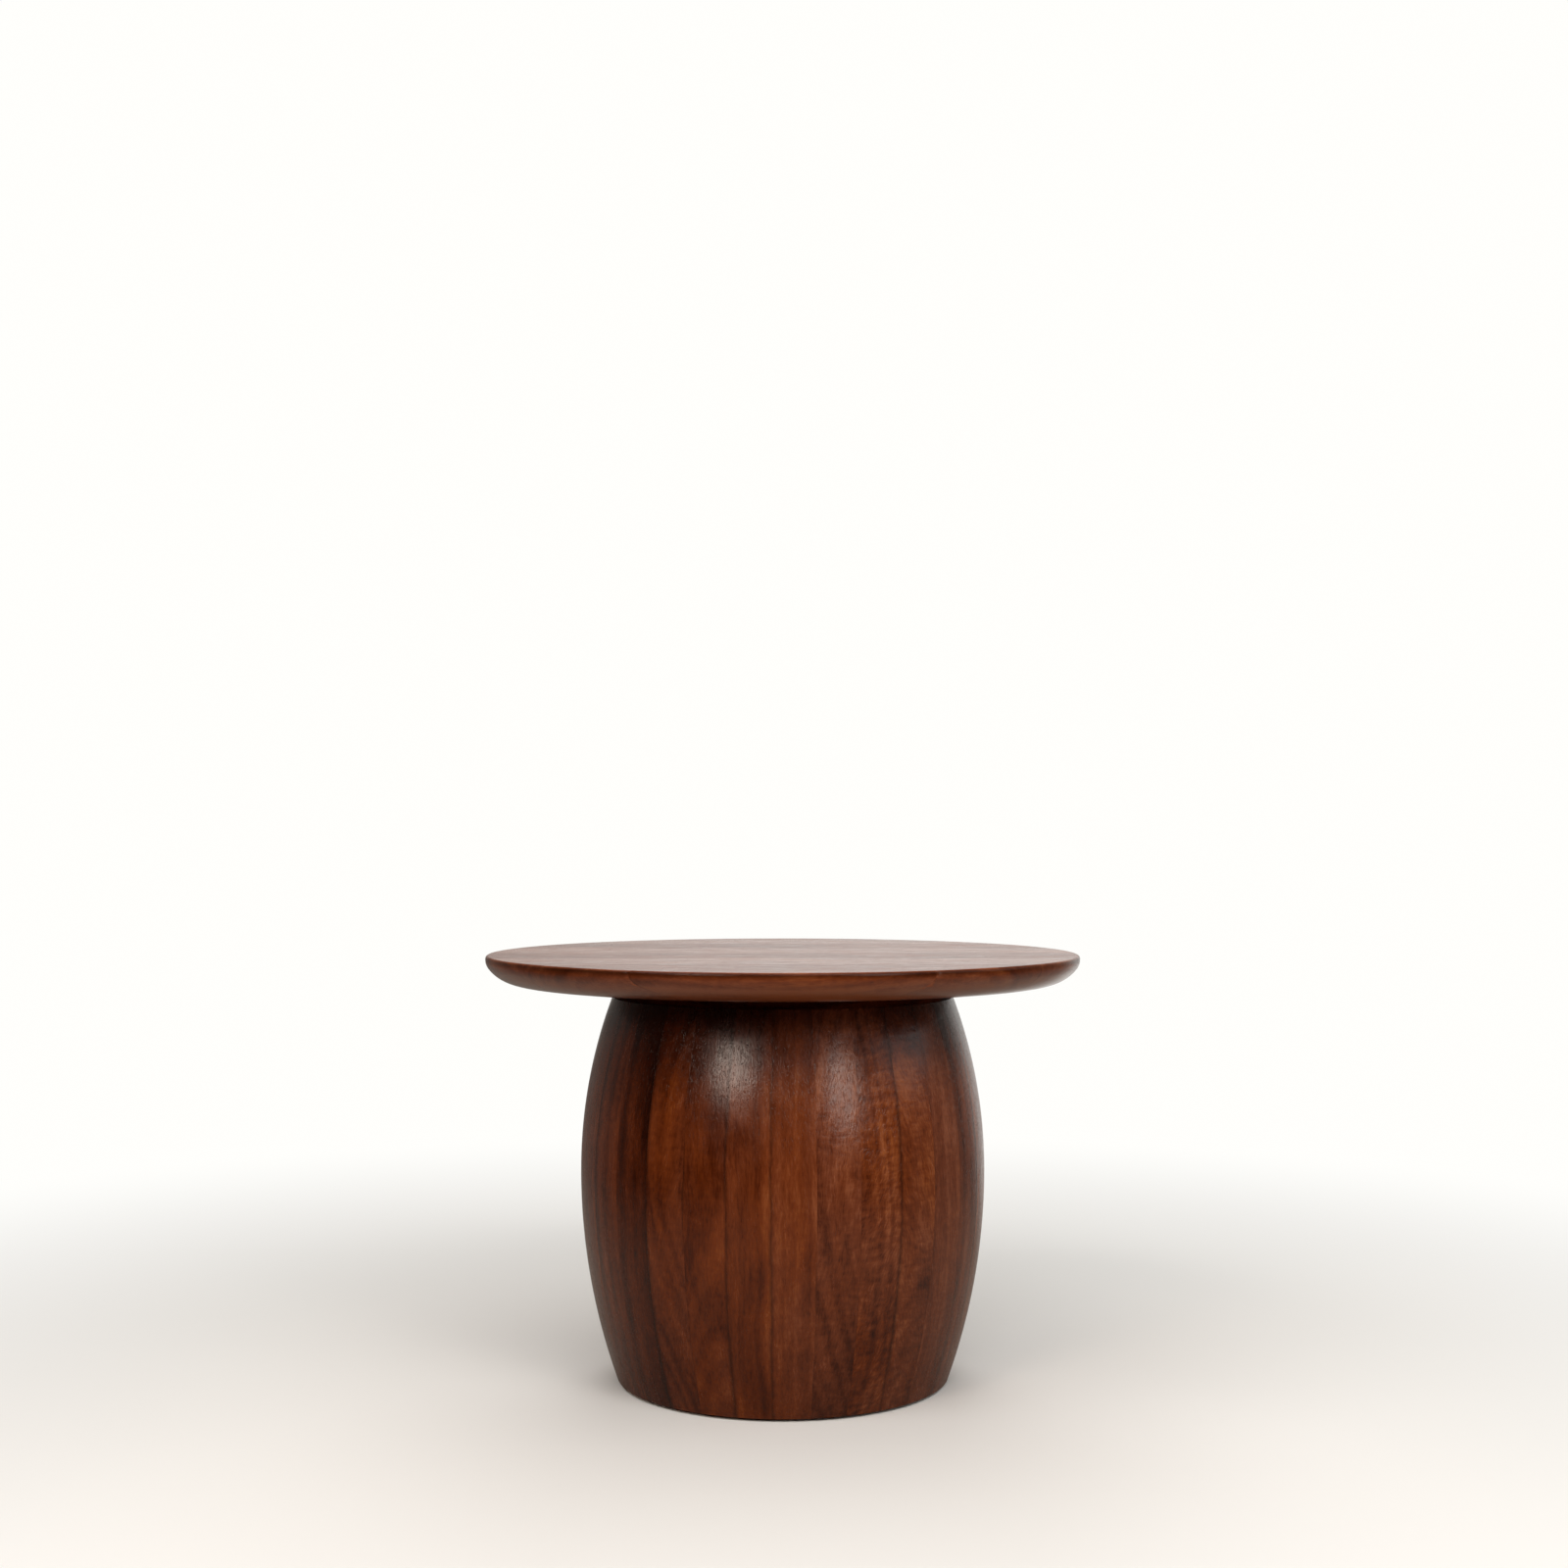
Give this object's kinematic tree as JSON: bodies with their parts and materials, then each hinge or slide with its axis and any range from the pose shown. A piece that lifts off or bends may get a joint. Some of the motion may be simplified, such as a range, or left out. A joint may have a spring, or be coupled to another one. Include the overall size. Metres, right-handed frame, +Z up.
{
  "type": "accent table",
  "caption": "Low round accent table: bevelled solid wood top on a hollow barrel-shaped drum of vertical staves, dark reddish brown stain with a satin lacquer.",
  "frame": {"origin": "on the floor, under the middle of the table", "axes": "+Z up along the table's axis; -Y is the front that the picture shows; +X is to the right, along the tabletop's boards"},
  "size_m": [0.6, 0.6, 0.43],
  "materials": {
    "barrel_wood": "dark reddish brown stain under satin lacquer, long vertical grain, tones differ by stave",
    "top_wood": "dark reddish brown stain under satin lacquer, grain along X",
    "disc_wood": "dark stain, matt",
    "plywood": "bare plywood",
    "zinc_steel": "zinc plated",
    "brass": "plain brass",
    "nylon": "dark brown, matt"
  },
  "bodies": {
    "root": {"stave_01": "barrel_wood", "stave_02": "barrel_wood", "stave_03": "barrel_wood", "stave_04": "barrel_wood", "stave_05": "barrel_wood", "stave_06": "barrel_wood", "stave_07": "barrel_wood", "stave_08": "barrel_wood", "stave_09": "barrel_wood", "stave_10": "barrel_wood", "stave_11": "barrel_wood", "stave_12": "barrel_wood", "stave_13": "barrel_wood", "stave_14": "barrel_wood", "stave_15": "barrel_wood", "stave_16": "barrel_wood", "stave_17": "barrel_wood", "stave_18": "barrel_wood", "stave_19": "barrel_wood", "stave_20": "barrel_wood", "stave_21": "barrel_wood", "stave_22": "barrel_wood", "stave_23": "barrel_wood", "stave_24": "barrel_wood", "stave_25": "barrel_wood", "stave_26": "barrel_wood", "stave_27": "barrel_wood", "stave_28": "barrel_wood", "stave_29": "barrel_wood", "stave_30": "barrel_wood", "top_board_1": "top_wood", "top_board_2": "top_wood", "top_board_3": "top_wood", "top_board_4": "top_wood", "top_board_5": "top_wood", "top_board_6": "top_wood", "top_board_7": "top_wood", "top_board_8": "top_wood", "mounting_disc": "disc_wood", "upper_ring": "plywood", "foot_ring": "plywood", "disc_screws": "zinc_steel", "top_bolts": "zinc_steel", "bolt_washers": "zinc_steel", "glide_screws": "zinc_steel", "threaded_inserts": "brass", "glides": "nylon"}
  },
  "joints": []
}
